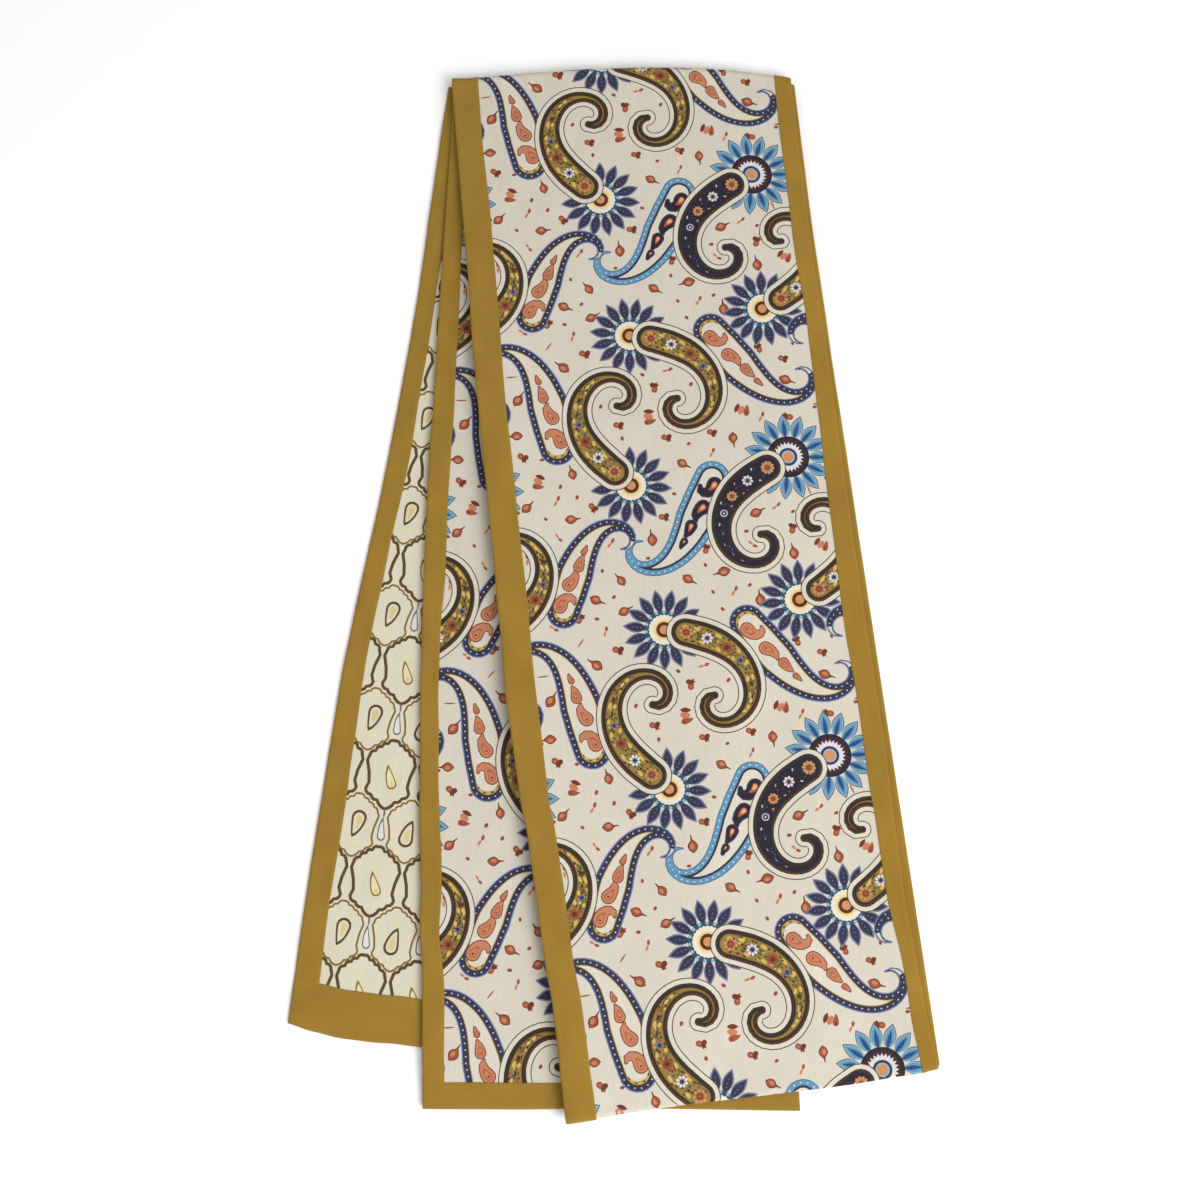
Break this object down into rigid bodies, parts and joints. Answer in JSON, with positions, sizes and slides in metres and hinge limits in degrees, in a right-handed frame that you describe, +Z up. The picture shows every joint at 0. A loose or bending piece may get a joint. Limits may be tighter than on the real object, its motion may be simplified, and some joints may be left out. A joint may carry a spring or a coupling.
{
  "type": "paisley scarf, folded and fanned flat",
  "caption": "Long narrow double-faced scarf with bound edges, folded into fanned layers and lying flat.",
  "frame": {"origin": "middle of the box of the folded scarf, on the surface it lies on", "axes": "+Z up off the surface, +Y towards the top folds, +X to the right seen from above with the folds away"},
  "size_m": [0.2592, 0.4512, 0.006],
  "materials": {
    "printed_face": "cream cloth with a paisley print, soft twill, slight sheen",
    "printed_reverse": "ivory cloth with a printed scalloped trellis",
    "binding": "plain mustard cloth, fine rib, folded over the edges"
  },
  "bodies": {
    "root": {"front_panel": "printed_face", "front_left_binding": "binding", "front_right_binding": "binding", "turned_under": "printed_reverse", "turned_under_right_binding": "binding", "middle_panel": "printed_face", "middle_left_binding": "binding", "middle_right_binding": "binding", "middle_end_binding": "binding", "back_panel": "printed_reverse", "back_left_binding": "binding", "back_right_binding": "binding", "back_end_binding": "binding"}
  },
  "joints": []
}
